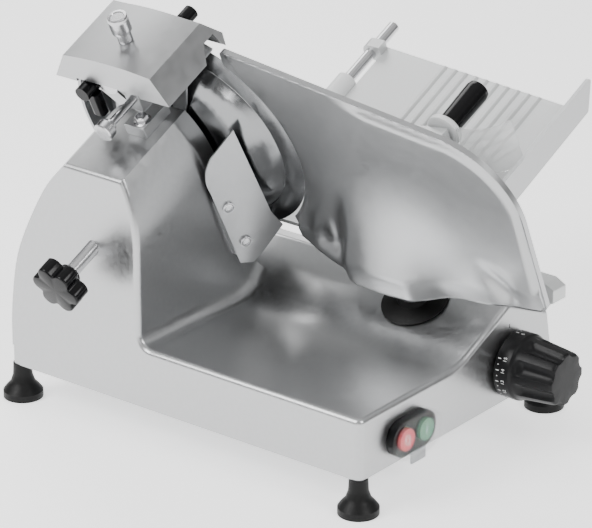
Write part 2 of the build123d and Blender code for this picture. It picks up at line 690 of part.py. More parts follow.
KNOB_PLANE = Plane((KNOB_X, 0, KNOB_Z), x_dir=(1, 0, 0), z_dir=(0, 0, 1))
KNOB_AXIS = Axis((KNOB_X, 0, KNOB_Z), (0, 1, 0))
with BuildPart() as thickness_knob:
    turn(
        ((6, -239), (6, -221), (32.5, -221), (33.5, -222), (33.5, -238), (32, -240), (30.5, -243), (29, -256),
         (27.5, -281), (25.5, -284), (0, -284), (0, -239)),
        KNOB_PLANE, KNOB_AXIS,
    )
    with BuildSketch(Plane((KNOB_X, -244, KNOB_Z), x_dir=(1, 0, 0), z_dir=-Y)) as flutes:
        with PolarLocations(33, 9):
            Circle(7)
    extrude(flutes.sketch, amount=42, mode=Mode.SUBTRACT)
save(thickness_knob, "thickness_knob")

with BuildPart() as knob_spindle:
    bar(Plane((KNOB_X, -239, KNOB_Z), z_dir=Y), 6, 71)
    bar(Plane((KNOB_X, -168, KNOB_Z), z_dir=Y), CAM_R, 10)
    with BuildSketch(Plane((KNOB_X, -158, KNOB_Z), x_dir=(1, 0, 0), z_dir=-Y)) as groove:
        with BuildLine():
            outer_edge = Spline(*spiral(FOLLOWER_R + 0.4))
            inner_edge = Spline(*spiral(-FOLLOWER_R - 0.4))
            Line(outer_edge @ 0, inner_edge @ 0)
            Line(outer_edge @ 1, inner_edge @ 1)
        make_face()
    extrude(groove.sketch, amount=8, mode=Mode.SUBTRACT)
save(knob_spindle, "knob_spindle")

# ---- switch ----------------------------------------------------------------------------------------------
with BuildPart() as switch_housing:
    with BuildSketch(FRONT) as switch_outline:
        with Locations((SWITCH_X, SWITCH_Z)):
            SlotOverall(66, 36)
    extrude(switch_outline.sketch, amount=9)
    with BuildSketch(FRONT.offset(-36)) as contact_block:
        with Locations((SWITCH_X, SWITCH_Z)):
            Rectangle(56, 25)
    extrude(contact_block.sketch, amount=36)
    for shift in (-BUTTON_PITCH / 2, BUTTON_PITCH / 2):
        button_bore = Plane((SWITCH_X + shift, -BASE_HALF_Y + 20, SWITCH_Z), z_dir=-Y)
        bar(button_bore, 4.4, 20, Mode.SUBTRACT)
        bar(button_bore.offset(15), BUTTON_R + 0.3, 20, Mode.SUBTRACT)
save(switch_housing, "switch_housing")

with BuildPart() as switch_cover:
    for width, height, depth, mode in ((71, 41, 15, Mode.ADD), (68.4, 38.4, 13.6, Mode.SUBTRACT)):
        with BuildSketch(FRONT) as bubble:
            with Locations((SWITCH_X, SWITCH_Z)):
                SlotOverall(width, height)
        extrude(bubble.sketch, amount=depth, mode=mode)
save(switch_cover, "switch_cover")

for button_name, button_x in (("stop_button", -BUTTON_PITCH / 2), ("start_button", BUTTON_PITCH / 2)):
    with BuildPart() as button:
        button_plane = Plane((SWITCH_X + button_x, -BASE_HALF_Y + 6, SWITCH_Z), z_dir=-Y)
        bar(button_plane, 4, 8)
        bar(button_plane.offset(7), BUTTON_R, 11)
    save(button, button_name)

# ---- carriage ----------------------------------------------------------------------------------------------
with BuildPart() as slide_rail:
    bar(Plane((RAIL_X, -BASE_HALF_Y + WALL, RAIL_Z), z_dir=Y), RAIL_R, 2 * (BASE_HALF_Y - WALL))
save(slide_rail, "slide_rail")

with BuildPart() as carriage_block:
    block(Plane((RAIL_X, -42, RAIL_Z), x_dir=(1, 0, 0), z_dir=(0, 1, 0)), 26, 30, 84)
    bar(Plane((RAIL_X, -50, RAIL_Z), z_dir=Y), RAIL_R + FIT, 100, Mode.SUBTRACT)
save(carriage_block, "carriage_block")

ARM_X0, ARM_X1 = 182.0, 204.0
BRACKET_V = TRAY_V - TRAY_T - 5
with BuildPart() as carriage_arm:
    with Locations(((RAIL_X + 13 + ARM_X1) / 2, 0, 68)):
        Box(ARM_X1 - RAIL_X - 13, 2 * ARM_Y, 14)
    with BuildSketch(Plane.YZ.offset(ARM_X0)) as arm_side:
        with BuildLine():
            Polyline((-ARM_Y, 75), (-ARM_Y, 88), (-184, 88), (-196, 94), (-196, 108), (-184, 114),
                     (-ARM_Y, 114), (ARM_Y, 114), (ARM_Y, 75), close=True)
        make_face()
    extrude(arm_side.sketch, amount=ARM_X1 - ARM_X0)
    with BuildSketch(Plane.XZ.offset(-ARM_Y)) as post_side:
        with BuildLine():
            left_top = BLADE_Z + (BRACKET_V + ARM_X0 * sin(radians(TILT))) / cos(radians(TILT))
            right_top = BLADE_Z + (BRACKET_V + ARM_X1 * sin(radians(TILT))) / cos(radians(TILT))
            Polyline((ARM_X0, 114), (ARM_X0, left_top), (ARM_X1, right_top), (ARM_X1, 114), close=True)
        make_face()
    extrude(post_side.sketch, amount=2 * ARM_Y)
    block(upward(-BLADE_Y, BRACKET_V, 150), 110, 130, 5)
save(carriage_arm, "carriage_arm")


def tray_far(y):
    """Distance of the tray's far edge along the blade axis, at a row y."""
    share = (y - TRAY_FRONT_Y) / (TRAY_REAR_Y - TRAY_FRONT_Y)
    return TRAY_FAR_FRONT_S + share * (TRAY_FAR_REAR_S - TRAY_FAR_FRONT_S)


with BuildPart() as product_tray:
    front_u, rear_u = TRAY_FRONT_Y - BLADE_Y, TRAY_REAR_Y - BLADE_Y
    prism(
        upward(0, TRAY_V - TRAY_T, 0),
        ((front_u, -TRAY_NEAR_S), (rear_u, -TRAY_NEAR_S), (rear_u, -tray_far(TRAY_REAR_Y)),
         (front_u, -tray_far(TRAY_FRONT_Y))), TRAY_T,
    )
    for rib in range(10):
        rib_y = 8 - 13.5 * rib
        bar(across(rib_y - BLADE_Y, TRAY_V - 1.5, TRAY_NEAR_S + 2), 3.4, tray_far(rib_y) - TRAY_NEAR_S - 3)
    for s in (TRAY_NEAR_S + 1.5, tray_far(TRAY_REAR_Y) - 13):
        block(across(rear_u + 6, ROD_V, s), 13, 2 * ROD_R + 8, 12)
        bar(across(ROD_Y - BLADE_Y, ROD_V, s), ROD_R + 4, 12)
        bar(across(ROD_Y - BLADE_Y, ROD_V, s - 1), ROD_R, 14, Mode.SUBTRACT)
save(product_tray, "product_tray")

with BuildPart() as end_fence:
    with BuildSketch(side(TRAY_FRONT_Y - 4)) as fence:
        with BuildLine():
            Polyline((-119, 22), (-87.5, 22), (-87.5, 270), (-119, 252), close=True)
        make_face()
        fillet(fence.vertices(), 3)
    extrude(fence.sketch, amount=4)
save(end_fence, "end_fence")

with BuildPart() as pusher_rod:
    bar(across(ROD_Y - BLADE_Y, ROD_V, TRAY_NEAR_S), ROD_R, 281)
    chamfer(pusher_rod.edges().sort_by(Axis.Z)[-1], 1)
save(pusher_rod, "pusher_rod")

with BuildPart() as pusher_sleeve:
    tube(across(ROD_Y - BLADE_Y, ROD_V, SLEEVE_S0), SLEEVE_R, ROD_R + FIT, SLEEVE_S1 - SLEEVE_S0)
save(pusher_sleeve, "pusher_sleeve")

HANDLE_U, HANDLE_V = -192.0, -62.0
with BuildPart() as pusher_arm:
    tube(across(ROD_Y - BLADE_Y, ROD_V, 118), SLEEVE_R, ROD_R + FIT, SLEEVE_S0 - 118.3)
    prism(
        across(0, 0, 118),
        ((-16, -102), (-1, -101), (-4, -88), (-180, -56), (-202, -52), (-202, -74), (-180, -74)), 10,
    )
    bar(across(HANDLE_U, HANDLE_V, 117), 6, 12, Mode.SUBTRACT)
save(pusher_arm, "pusher_arm")

with BuildPart() as pusher_plate:
    with BuildSketch(across(HANDLE_U + 4, -79, 108)) as plate_face:
        RectangleRounded(88, 50, 10)
    extrude(plate_face.sketch, amount=4)
    with BuildSketch(across(HANDLE_U + 4, -79, 104)) as teeth:
        with GridLocations(14, 13, 6, 3):
            Circle(2)
    extrude(teeth.sketch, amount=4, taper=-20)
    bar(across(HANDLE_U, HANDLE_V, 112), 6, 18)
save(pusher_plate, "pusher_plate")

with BuildPart() as handle_collar:
    turn(
        ((0, 130), (16.5, 130), (18.5, 131), (18.5, 136), (15, 139), (0, 139)),
        placed(RADIAL, at(HANDLE_U, HANDLE_V, 0)), Axis(at(HANDLE_U, HANDLE_V, 0), N),
    )
save(handle_collar, "handle_collar")

with BuildPart() as pusher_handle:
    turn(
        ((0, 139), (10.5, 139), (11.5, 142), (12.5, 190), (11.5, 195), (8, 198), (0, 198)),
        placed(RADIAL, at(HANDLE_U, HANDLE_V, 0)), Axis(at(HANDLE_U, HANDLE_V, 0), N),
    )
save(pusher_handle, "pusher_handle")

with BuildPart() as finger_guard:
    with BuildSketch(Plane(origin=at(0, -106, 0), x_dir=Y, z_dir=M)) as guard_plan:
        with BuildLine():
            outer_arc = ThreePointArc((-212, -128.3), (-240, -134), (-262, -156))
            inner_arc = ThreePointArc((-260, -157), (-238.8, -136), (-212, -130.3))
            Line(outer_arc @ 0, inner_arc @ 1)
            Line(outer_arc @ 1, inner_arc @ 0)
        make_face()
    extrude(guard_plan.sketch, amount=58)
save(finger_guard, "finger_guard")

with BuildPart() as tray_lock_knob:
    lock_plane = Plane((ARM_X1 + 0.4, 0, 165), z_dir=(1, 0, 0))
    bar(lock_plane, 8, 5)
    with BuildSketch(lock_plane.offset(5)) as lobes:
        Circle(15)
        with PolarLocations(15, 5):
            Circle(5)
    extrude(lobes.sketch, amount=14)
save(tray_lock_knob, "tray_lock_knob")
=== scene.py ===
import json
import math

import bmesh
import bpy
from mathutils import Matrix, Vector


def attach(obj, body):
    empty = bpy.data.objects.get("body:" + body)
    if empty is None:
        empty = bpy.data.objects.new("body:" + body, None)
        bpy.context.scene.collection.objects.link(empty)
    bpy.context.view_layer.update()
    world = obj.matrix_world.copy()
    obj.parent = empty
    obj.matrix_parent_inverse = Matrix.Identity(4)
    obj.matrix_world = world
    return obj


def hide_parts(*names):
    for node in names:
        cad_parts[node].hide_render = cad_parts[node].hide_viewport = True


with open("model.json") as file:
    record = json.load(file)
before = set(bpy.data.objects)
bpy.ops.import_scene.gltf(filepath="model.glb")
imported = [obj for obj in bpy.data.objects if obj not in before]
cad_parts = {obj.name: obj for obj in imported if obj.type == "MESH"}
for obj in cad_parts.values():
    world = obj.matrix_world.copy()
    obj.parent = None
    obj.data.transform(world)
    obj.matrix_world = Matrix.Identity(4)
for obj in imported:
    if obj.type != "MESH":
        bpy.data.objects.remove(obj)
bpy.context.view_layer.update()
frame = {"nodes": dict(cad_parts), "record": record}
NODES = frame["nodes"]

# ---- the cutting head's frame, in metres ------------------------------------------------------
MM = 0.001
TILT = math.radians(25)
N = Vector((math.cos(TILT), 0, math.sin(TILT)))      # blade axis, to the carriage
M = Vector((-math.sin(TILT), 0, math.cos(TILT)))     # square to it, upward
Y = Vector((0, 1, 0))
CENTRE = Vector((0, 106, 262)) * MM


def at(u, v, s):
    """Point from head coordinates in millimetres: u along +Y, v along M, s along N."""
    return CENTRE + (Y * u + M * v + N * s) * MM


def basis(origin, x, y, z):
    """Matrix that carries local metres to the row frame."""
    m = Matrix((x, y, z)).transposed().to_4x4()
    m.translation = origin
    return m


def head_basis(u=0.0, v=0.0, s=0.0):
    """Local x is +Y, y is M, z is N."""
    return basis(at(u, v, s), Y, M, N)


# ---- camera -----------------------------------------------------------------------------------
CAMERA_PLACE = Vector((-2.7473, -2.2034, 1.6464))
VIEW = Vector((0.7156, 0.5729, -0.3995)).normalized()
ROLL = math.radians(-0.21)
camera_data = bpy.data.cameras.new("camera")
camera_data.lens = 238.6
camera_data.sensor_width = 36
camera_data.shift_x = 0.0175
camera_data.shift_y = 0.0554
camera_data.clip_end = 50
camera = bpy.data.objects.new("camera", camera_data)
bpy.context.scene.collection.objects.link(camera)
camera.location = CAMERA_PLACE
camera.rotation_mode = "QUATERNION"
camera.rotation_quaternion = VIEW.to_track_quat("-Z", "Y")
camera.rotation_quaternion = (
    camera.rotation_quaternion.to_matrix() @ Matrix.Rotation(ROLL, 3, "Z")
).to_quaternion()
bpy.context.scene.camera = camera


# ---- materials --------------------------------------------------------------------------------
def new_material(name, color, metallic, roughness, **sockets):
    """Principled material; extra sockets are set by name."""
    material = bpy.data.materials.new(name)
    material.use_nodes = True
    shader = material.node_tree.nodes["Principled BSDF"]
    shader.inputs["Base Color"].default_value = (*color, 1)
    shader.inputs["Metallic"].default_value = metallic
    shader.inputs["Roughness"].default_value = roughness
    for key, value in sockets.items():
        shader.inputs[key.replace("_", " ")].default_value = value
    return material


FINE_SHARE = 0.55                   # weight of the fine noise; the broad noise has the rest
BROAD_SCALE = 9
BUMP_DISTANCE = 0.00015


def grain(material, color, rough, scale, spread, rough_spread, bump):
    """Surface grain: noise in object space varies colour, roughness and height."""
    nodes, links = material.node_tree.nodes, material.node_tree.links
    shader = nodes["Principled BSDF"]
    place = nodes.new("ShaderNodeTexCoord")
    fine = nodes.new("ShaderNodeTexNoise")
    fine.inputs["Scale"].default_value = scale
    fine.inputs["Detail"].default_value = 0
    links.new(place.outputs["Object"], fine.inputs["Vector"])
    broad = nodes.new("ShaderNodeTexNoise")
    broad.inputs["Scale"].default_value = BROAD_SCALE
    broad.inputs["Detail"].default_value = 3
    links.new(place.outputs["Object"], broad.inputs["Vector"])
    mixed = nodes.new("ShaderNodeMath")
    mixed.operation = "MULTIPLY_ADD"
    mixed.inputs[1].default_value = 1 - FINE_SHARE
    links.new(broad.outputs["Fac"], mixed.inputs[0])
    half = nodes.new("ShaderNodeMath")
    half.operation = "MULTIPLY"
    half.inputs[1].default_value = FINE_SHARE
    links.new(fine.outputs["Fac"], half.inputs[0])
    links.new(half.outputs[0], mixed.inputs[2])
    tint = nodes.new("ShaderNodeValToRGB")
    tint.color_ramp.elements[0].position = 0.3
    tint.color_ramp.elements[1].position = 0.7
    tint.color_ramp.elements[0].color = (*[c * (1 - spread) for c in color], 1)
    tint.color_ramp.elements[1].color = (*[min(1, c * (1 + spread)) for c in color], 1)
    links.new(mixed.outputs[0], tint.inputs["Fac"])
    links.new(tint.outputs["Color"], shader.inputs["Base Color"])
    gloss = nodes.new("ShaderNodeMapRange")
    gloss.inputs["From Min"].default_value = 0.3
    gloss.inputs["From Max"].default_value = 0.7
    gloss.inputs["To Min"].default_value = max(0.02, rough - rough_spread)
    gloss.inputs["To Max"].default_value = rough + rough_spread
    links.new(mixed.outputs[0], gloss.inputs["Value"])
    links.new(gloss.outputs["Result"], shader.inputs["Roughness"])
    if bump:
        height = nodes.new("ShaderNodeBump")
        height.inputs["Strength"].default_value = bump
        height.inputs["Distance"].default_value = BUMP_DISTANCE
        links.new(fine.outputs["Fac"], height.inputs["Height"])
        links.new(height.outputs["Normal"], shader.inputs["Normal"])


FINISHES = {
    # name: colour, metallic, roughness, noise scale, tint spread, roughness spread, bump
    "cast_aluminium": ((0.47, 0.475, 0.48), 1, 0.33, 220, 0.03, 0.05, 0.02),
    "plate_aluminium": ((0.45, 0.455, 0.46), 1, 0.31, 120, 0.02, 0.03, 0.0),
    "light_aluminium": ((0.60, 0.61, 0.61), 0.35, 0.40, 700, 0.02, 0.05, 0.06),
    "sheet_aluminium": ((0.36, 0.37, 0.38), 1, 0.36, 160, 0.05, 0.06, 0.0),
    # blade_steel: base colour kept dark as a painted reflection, standing in for the dark surroundings
    # mirrored in the polished blade
    "blade_steel": ((0.27, 0.275, 0.28), 1, 0.20, 300, 0.03, 0.03, 0.0),
    "bright_steel": ((0.58, 0.58, 0.59), 1, 0.20, 300, 0.03, 0.04, 0.0),
    "dark_steel": ((0.20, 0.21, 0.22), 1, 0.35, 300, 0.12, 0.08, 0.15),
    "motor_paint": ((0.025, 0.027, 0.03), 0, 0.42, 400, 0.15, 0.06, 0.25),
    "black_plastic": ((0.004, 0.004, 0.0045), 0, 0.34, 500, 0.2, 0.06, 0.05),
    "gloss_black": ((0.003, 0.003, 0.0035), 0, 0.18, 500, 0.15, 0.05, 0.04),
    "white_plastic": ((0.78, 0.79, 0.79), 0, 0.35, 500, 0.02, 0.05, 0.05),
    "red_button": ((0.62, 0.015, 0.03), 0, 0.28, 500, 0.06, 0.05, 0.05),
    "green_button": ((0.02, 0.20, 0.09), 0, 0.28, 500, 0.06, 0.05, 0.05),
    "rubber": ((0.005, 0.005, 0.005), 0, 0.46, 500, 0.2, 0.08, 0.08),
    "board": ((0.02, 0.14, 0.06), 0, 0.35, 200, 0.15, 0.08, 0.1),
    "stone": ((0.42, 0.38, 0.35), 0, 0.85, 1500, 0.25, 0.05, 0.9),
}
MATERIALS = {}
for finish, (color, metallic, roughness, scale, spread, rough_spread, bump) in FINISHES.items():
    MATERIALS[finish] = new_material(finish, color, metallic, roughness)
    grain(MATERIALS[finish], color, roughness, scale, spread, rough_spread, bump)
MATERIALS["clear_plastic"] = new_material(
    "clear_plastic", (0.96, 0.97, 0.97), 0, 0.10, Transmission_Weight=0.6, IOR=1.4, Alpha=0.42
)
MATERIALS["clear_cover"] = new_material(
    "clear_cover", (0.7, 0.71, 0.71), 0, 0.05, Transmission_Weight=1.0, IOR=1.2, Alpha=0.10
)

DETAIL_NOISE = 900                  # noise scale of the small raised marks
for finish, color, metallic, roughness, spread in (
    ("marking", (0.82, 0.83, 0.83), 0, 0.5, 0.05),
    ("contact", (0.05, 0.05, 0.055), 1, 0.3, 0.1),
):
    MATERIALS[finish] = new_material(finish, color, metallic, roughness)
    grain(MATERIALS[finish], color, roughness, DETAIL_NOISE, spread, 0.05, 0.0)

for finish in ("black_plastic", "gloss_black", "rubber"):
    MATERIALS[finish].node_tree.nodes["Principled BSDF"].inputs["Specular IOR Level"].default_value = 0.2

SLOT_OF = {entry["node"]: entry["material_slot"] for entry in frame["record"]["subparts"]}

# Rounding of the CAD nodes' edges, in millimetres. Nodes not listed have the default.
EDGE_ROUNDING = {
    "base_housing": 1.6, "gauge_plate": 0.9, "product_tray": 0.8, "carriage_arm": 1.5,
    "sharpener_cover": 0.8, "sharpener_bracket": 0.8, "end_fence": 0.5, "deflector_plate": 0.4,
    "pusher_arm": 1.2, "feet": 0.5, "switch_housing": 0.9, "guide_brackets": 0.6, "mounting_plate": 0.6,
}
DEFAULT_ROUNDING = 0.4


def soften(obj, width_mm):
    """Rounds the edges of a mesh with modifiers, leaving its own vertices alone."""
    weld = obj.modifiers.new("weld", "WELD")
    weld.merge_threshold = 0.01 * MM
    bevel = obj.modifiers.new("bevel", "BEVEL")
    bevel.width = width_mm * MM
    bevel.segments = 3
    bevel.limit_method = "ANGLE"
    bevel.angle_limit = math.radians(28)
    bevel.use_clamp_overlap = True
    bevel.miter_outer = "MITER_ARC"
    normals = obj.modifiers.new("normals", "WEIGHTED_NORMAL")
    normals.keep_sharp = False
    normals.weight = 60


for name, obj in NODES.items():
    obj.data.materials.clear()
    obj.data.materials.append(MATERIALS["clear_cover" if name == "switch_cover" else SLOT_OF[name]])
    soften(obj, EDGE_ROUNDING.get(name, DEFAULT_ROUNDING))


# ---- mesh helpers -----------------------------------------------------------------------------
SHARP_ANGLE = math.radians(38)


def finish_piece(obj, body, finish, replaced=()):
    """Gives a new piece its material, smooth shading and body, and hides the CAD nodes it stands for."""
    if obj.name not in bpy.context.scene.collection.objects:
        bpy.context.scene.collection.objects.link(obj)
    obj.data.materials.append(MATERIALS[finish])
    for polygon in obj.data.polygons:
        polygon.use_smooth = True
    obj.data.set_sharp_from_angle(angle=SHARP_ANGLE)
    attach(obj, body)
    if replaced:
        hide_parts(*replaced)
    return obj


def grid_piece(name, rows):
    """Mesh from rows of points; each row is a closed ring, and the end rows are capped."""
    verts = [point for row in rows for point in row]
    width = len(rows[0])
    faces = []
    for i in range(len(rows) - 1):
        for j in range(width):
            k = (j + 1) % width
            faces.append((i * width + j, i * width + k, (i + 1) * width + k, (i + 1) * width + j))
    last = (len(rows) - 1) * width
    faces.append(tuple(reversed(range(width))))
    faces.append(tuple(range(last, last + width)))
    mesh = bpy.data.meshes.new(name)
    mesh.from_pydata(verts, [], faces)
    mesh.validate()
    bm = bmesh.new()
    bm.from_mesh(mesh)
    bmesh.ops.recalc_face_normals(bm, faces=bm.faces)
    bm.to_mesh(mesh)
    bm.free()
    return bpy.data.objects.new(name, mesh)


def lathe(name, place, profile, steps=96, wobble=None):
    """Turned piece from (radius, height) rows in mm; wobble(angle, radius, height) changes the radius."""
    rows = []
    for radius, height in profile:
        row = []
        for j in range(steps):
            a = 2 * math.pi * j / steps
            r = wobble(a, radius, height) if wobble else radius
            row.append(place @ Vector((r * math.cos(a) * MM, r * math.sin(a) * MM, height * MM)))
        rows.append(row)
    return grid_piece(name, rows)


def smooth_step(low, high, x):
    """0 below low, 1 above high and smooth between."""
    t = min(1.0, max(0.0, (x - low) / (high - low)))
    return t * t * (3 - 2 * t)


def table(points, x):
    """Straight-line interpolation in (x, value) pairs that rise in x."""
    if x <= points[0][0]:
        return points[0][1]
    for (x0, y0), (x1, y1) in zip(points, points[1:]):
        if x <= x1:
            return y0 + (y1 - y0) * (x - x0) / (x1 - x0)
    return points[-1][1]


# ---- gauge casting: the relief on the back of the gauge plate -----------------------------------
FOOT_PLAN = (                       # how far the casting stands off the plate's back, along u
    (-384, 0), (-352, 6), (-316, 12), (-296, 13), (-281, 17), (-267, 26), (-250, 35), (-212, 35), (-180, 33),
    (-172, 29), (-160, 19), (-121, 10), (-98, 3), (-92, 1),
)
RIDGE = ((-117, -144), (-91, -152), (-59, -160), (-24, -166), (-14, -171), (27, -199), (70, -227), (95, -243))
FOLDS = (                           # start u, v, end u, v, height and width of the small cast folds
    (-143, -50, -119, -98, 3.2, 8), (-145, -50, -141, -100, 3.4, 6), (-318, -52, -352, -104, -5.5, 11),
)


def relief(u, v):
    """Height of the casting above the plate's back at head coordinates u and v, in mm."""
    above = smooth_step(-112, -84, v)
    spread = [table(FOOT_PLAN, u + du) for du in (-28, -18, -9, 0, 9, 18, 28)]
    reach = (1 - above) * table(FOOT_PLAN, u) + above * sum(spread) / len(spread)
    ridge_u = table(RIDGE, v)
    beyond = ridge_u - u
    far = smooth_step(-4, 24, beyond)
    lip = smooth_step(98, 114, -v)
    bulge = max(0.0, min(1.0, (38 - v) / 132)) ** 2.3
    rise = lip * (1 - far) + bulge * far
    if beyond > 0:
        dome = 5.0 - 1.4 * smooth_step(40, 180, beyond)
    else:
        dome = 5.0 * (1 - smooth_step(0, 50, -beyond))
    dome *= 0.35 + 0.65 * smooth_step(-118, -50, v)
    fold = 0.0
    for u1, v1, u2, v2, tall, wide in FOLDS:
        along = ((u - u1) * (u2 - u1) + (v - v1) * (v2 - v1)) / ((u2 - u1) ** 2 + (v2 - v1) ** 2)
        along = min(1.0, max(0.0, along))
        off = math.hypot(u - u1 - along * (u2 - u1), v - v1 - along * (v2 - v1))
        fold += tall * smooth_step(0, 0.8, along) * math.exp(-((off / wide) ** 2))
    return max(0.0, dome + reach * rise + fold)


def soft_relief(u, v):
    """The relief averaged over a few millimetres, so that its folds are rounded."""
    offsets = (-4, -2, 0, 2, 4)
    return sum(relief(u + du, v + dv) for du in offsets for dv in offsets) / len(offsets) ** 2


TOP_SLOPE = 0.158                   # the plate's top edge rises toward the blade
CORNER = (-304.0, 0.6)              # middle of the round upper corner, at the operator's end
CORNER_R = 88.0
BLADE_CUT_R = 128                   # round cut around the blade


def gauge_outline(inset):
    """Outline of the casting in (u, v), just inside the plate's edge."""
    points = []

    def top(u):
        return 125.4 - inset + TOP_SLOPE * (u + 72)

    points.append((-76 - inset, top(-76 - inset)))
    points.append((-310, top(-310)))
    radius = CORNER_R - inset
    for i in range(1, 16):
        a = math.radians(99 + 78 * i / 16)
        points.append((CORNER[0] + radius * math.cos(a), CORNER[1] + radius * math.sin(a)))
    points.append((-387.5 + inset, -111))
    points.append((-381, -117.9))
    points.append((-150, -117.9))
    points.append((-96, -112))
    points.append((-93, -104))
    for i in range(33):
        a = math.radians(221 - 87 * i / 32)
        points.append(((BLADE_CUT_R + inset) * math.cos(a), (BLADE_CUT_R + inset) * math.sin(a)))
    return points


def from_edge(outline, u, v):
    """Distance from a point to the nearest side of an outline."""
    best = 1000.0
    for (u0, v0), (u1, v1) in zip(outline, outline[1:] + outline[:1]):
        du, dv = u1 - u0, v1 - v0
        share = min(1.0, max(0.0, ((u - u0) * du + (v - v0) * dv) / (du * du + dv * dv)))
        best = min(best, math.hypot(u - u0 - share * du, v - v0 - share * dv))
    return best


CASTING_INSET = 1.2                 # gap from the casting's rim to the plate's edge
CASTING_STEP = 2.5                  # spacing of the casting's grid


def gauge_casting():
    """The relief as a dense grid cut to the outline and raised by relief()."""
    outline = gauge_outline(CASTING_INSET)
    bm = bmesh.new()
    bm.faces.new([bm.verts.new((u, v, 0)) for u, v in outline])
    for axis, low, high in ((0, -396, -78), (1, -118, 126)):
        for i in range(1, int((high - low) / CASTING_STEP)):
            normal = [0, 0, 0]
            normal[axis] = 1
            place = [0, 0, 0]
            place[axis] = low + i * CASTING_STEP
            bmesh.ops.bisect_plane(
                bm, geom=bm.verts[:] + bm.edges[:] + bm.faces[:], dist=1e-4, plane_co=place, plane_no=normal
            )
    bmesh.ops.remove_doubles(bm, verts=bm.verts, dist=0.02)
    extruded = bmesh.ops.extrude_face_region(bm, geom=bm.faces[:])
    lower = {e for e in extruded["geom"] if isinstance(e, bmesh.types.BMVert)}
    for vert in bm.verts:
        u, v = vert.co.x, vert.co.y
        if vert in lower:
            height = -0.5
        else:
            rim = max(smooth_step(0, 8, from_edge(outline, u, v)), smooth_step(84, 96, -v))
            height = 0.25 + rim * soft_relief(u, v)
        vert.co = at(u, v, -1 - height)
    bmesh.ops.recalc_face_normals(bm, faces=bm.faces)
    mesh = bpy.data.meshes.new("gauge_casting")
    bm.to_mesh(mesh)
    bm.free()
    obj = bpy.data.objects.new("gauge_casting", mesh)
    bpy.context.scene.collection.objects.link(obj)
    finish_piece(obj, "gauge", "plate_aluminium", replaced=("gauge_foot",))
    flatten = obj.modifiers.new("normals", "WEIGHTED_NORMAL")
    flatten.keep_sharp = False


gauge_casting()

# ---- thickness knob: fluted grip with a numbered skirt --------------------------------------------
KNOB = Vector((80, 0, 74)) * MM
# Local z of the knob points toward the operator.
KNOB_PLACE = basis(KNOB, Vector((1, 0, 0)), Vector((0, 0, 1)), Vector((0, -1, 0)))
FLUTES = 8


def knob_radius(angle, radius, height):
    """Scooped flutes that start above the skirt and run out over the end face."""
    turn_share = (angle * FLUTES / (2 * math.pi)) % 1.0
    off = (turn_share - 0.5) * 2 / 0.62
    scoop = max(0.0, 1 - off * off) ** 0.7
    depth = 4.4 * smooth_step(242.5, 250, height) * (1 if radius > 12 else radius / 12)
    return radius - depth * scoop * (0.6 if height > 283.2 else 1)


KNOB_PROFILE = [
    (6.2, 239), (6.2, 221.2), (31.8, 221), (33.0, 221.3), (33.5, 222.4), (33.5, 237), (33.2, 238.2),
    (32.2, 239), (31.6, 241), (31.2, 243), (31.0, 245), (30.8, 247), (30.6, 249), (30.4, 251),
    (29.8, 256), (29.0, 264), (28.2, 272), (27.4, 279), (27.0, 281.5), (26.4, 283), (25.4, 283.8),
    (24, 284), (12, 284), (0.4, 284),
]
finish_piece(
    lathe("knob_grip", KNOB_PLACE, KNOB_PROFILE, 192, knob_radius), "thickness_dial", "black_plastic",
    replaced=("thickness_knob",),
)


def around_knob(degrees, radius, height):
    """Frame on the knob's skirt: local x along the circumference, y to the wall, z outward."""
    a = math.radians(degrees)
    out = Vector((math.sin(a), 0, math.cos(a)))
    across = Vector((math.cos(a), 0, -math.sin(a)))
    place = KNOB + (out * radius - Y * height) * MM
    return basis(place, across, Y, out)


def mark_box(name, place, width, length, depth):
    """Thin raised mark, centred on place, with tapered sides."""
    x, y, z = width / 2 * MM, length / 2 * MM, depth * MM
    inner = 0.75
    ring = ((-1, -1), (1, -1), (1, 1), (-1, 1))
    rows = [
        [place @ Vector((sx * x, sy * y, -z)) for sx, sy in ring],
        [place @ Vector((sx * x, sy * y, z * 0.5)) for sx, sy in ring],
        [place @ Vector((sx * x * inner, sy * y * inner, z)) for sx, sy in ring],
    ]
    return grid_piece(name, rows)


def joined(name, parts):
    """One object from several meshes."""
    bm = bmesh.new()
    for part in parts:
        part.data.transform(part.matrix_world)
        bm.from_mesh(part.data)
        bpy.data.objects.remove(part)
    mesh = bpy.data.meshes.new(name)
    bm.to_mesh(mesh)
    bm.free()
    return bpy.data.objects.new(name, mesh)


def numeral(text, place, size):
    """Thin raised characters as a mesh."""
    curve = bpy.data.curves.new("numeral", "FONT")
    curve.body = text
    curve.size = size * MM
    curve.extrude = 0.06 * MM
    curve.align_x = "CENTER"
    curve.align_y = "CENTER"
    holder = bpy.data.objects.new("numeral", curve)
    bpy.context.scene.collection.objects.link(holder)
    bpy.context.view_layer.update()
    mesh = bpy.data.meshes.new_from_object(holder.evaluated_get(bpy.context.evaluated_depsgraph_get()))
    bpy.data.objects.remove(holder)
    obj = bpy.data.objects.new("numeral", mesh)
    obj.data.transform(place)
    return obj


MARK_STEP = 10                      # degrees between marks; each second mark is long and numbered
marks = []
for i in range(31):
    degrees = i * MARK_STEP
    major = i % 2 == 0
    length = 3.4 if major else 1.2
    marks.append(mark_box("mark", around_knob(degrees, 33.5, 225.4), 0.9, length, 0.12))
    if major:
        marks.append(numeral(str(i // 2), around_knob(degrees, 33.45, 232), 5.2))
finish_piece(joined("dial_marks", marks), "thickness_dial", "marking")
index_place = basis(Vector((76.8, -218, 113.5)) * MM, Vector((1, 0, 0)), Vector((0, 0, 1)), -Y)
finish_piece(mark_box("index_mark", index_place, 1.1, 4.0, 0.15), "base", "contact")

# ---- buttons: raised signs ----------------------------------------------------------------------
RING_NARROWING = 0.72               # the ring is narrower than it is tall
RING_STEPS = 40


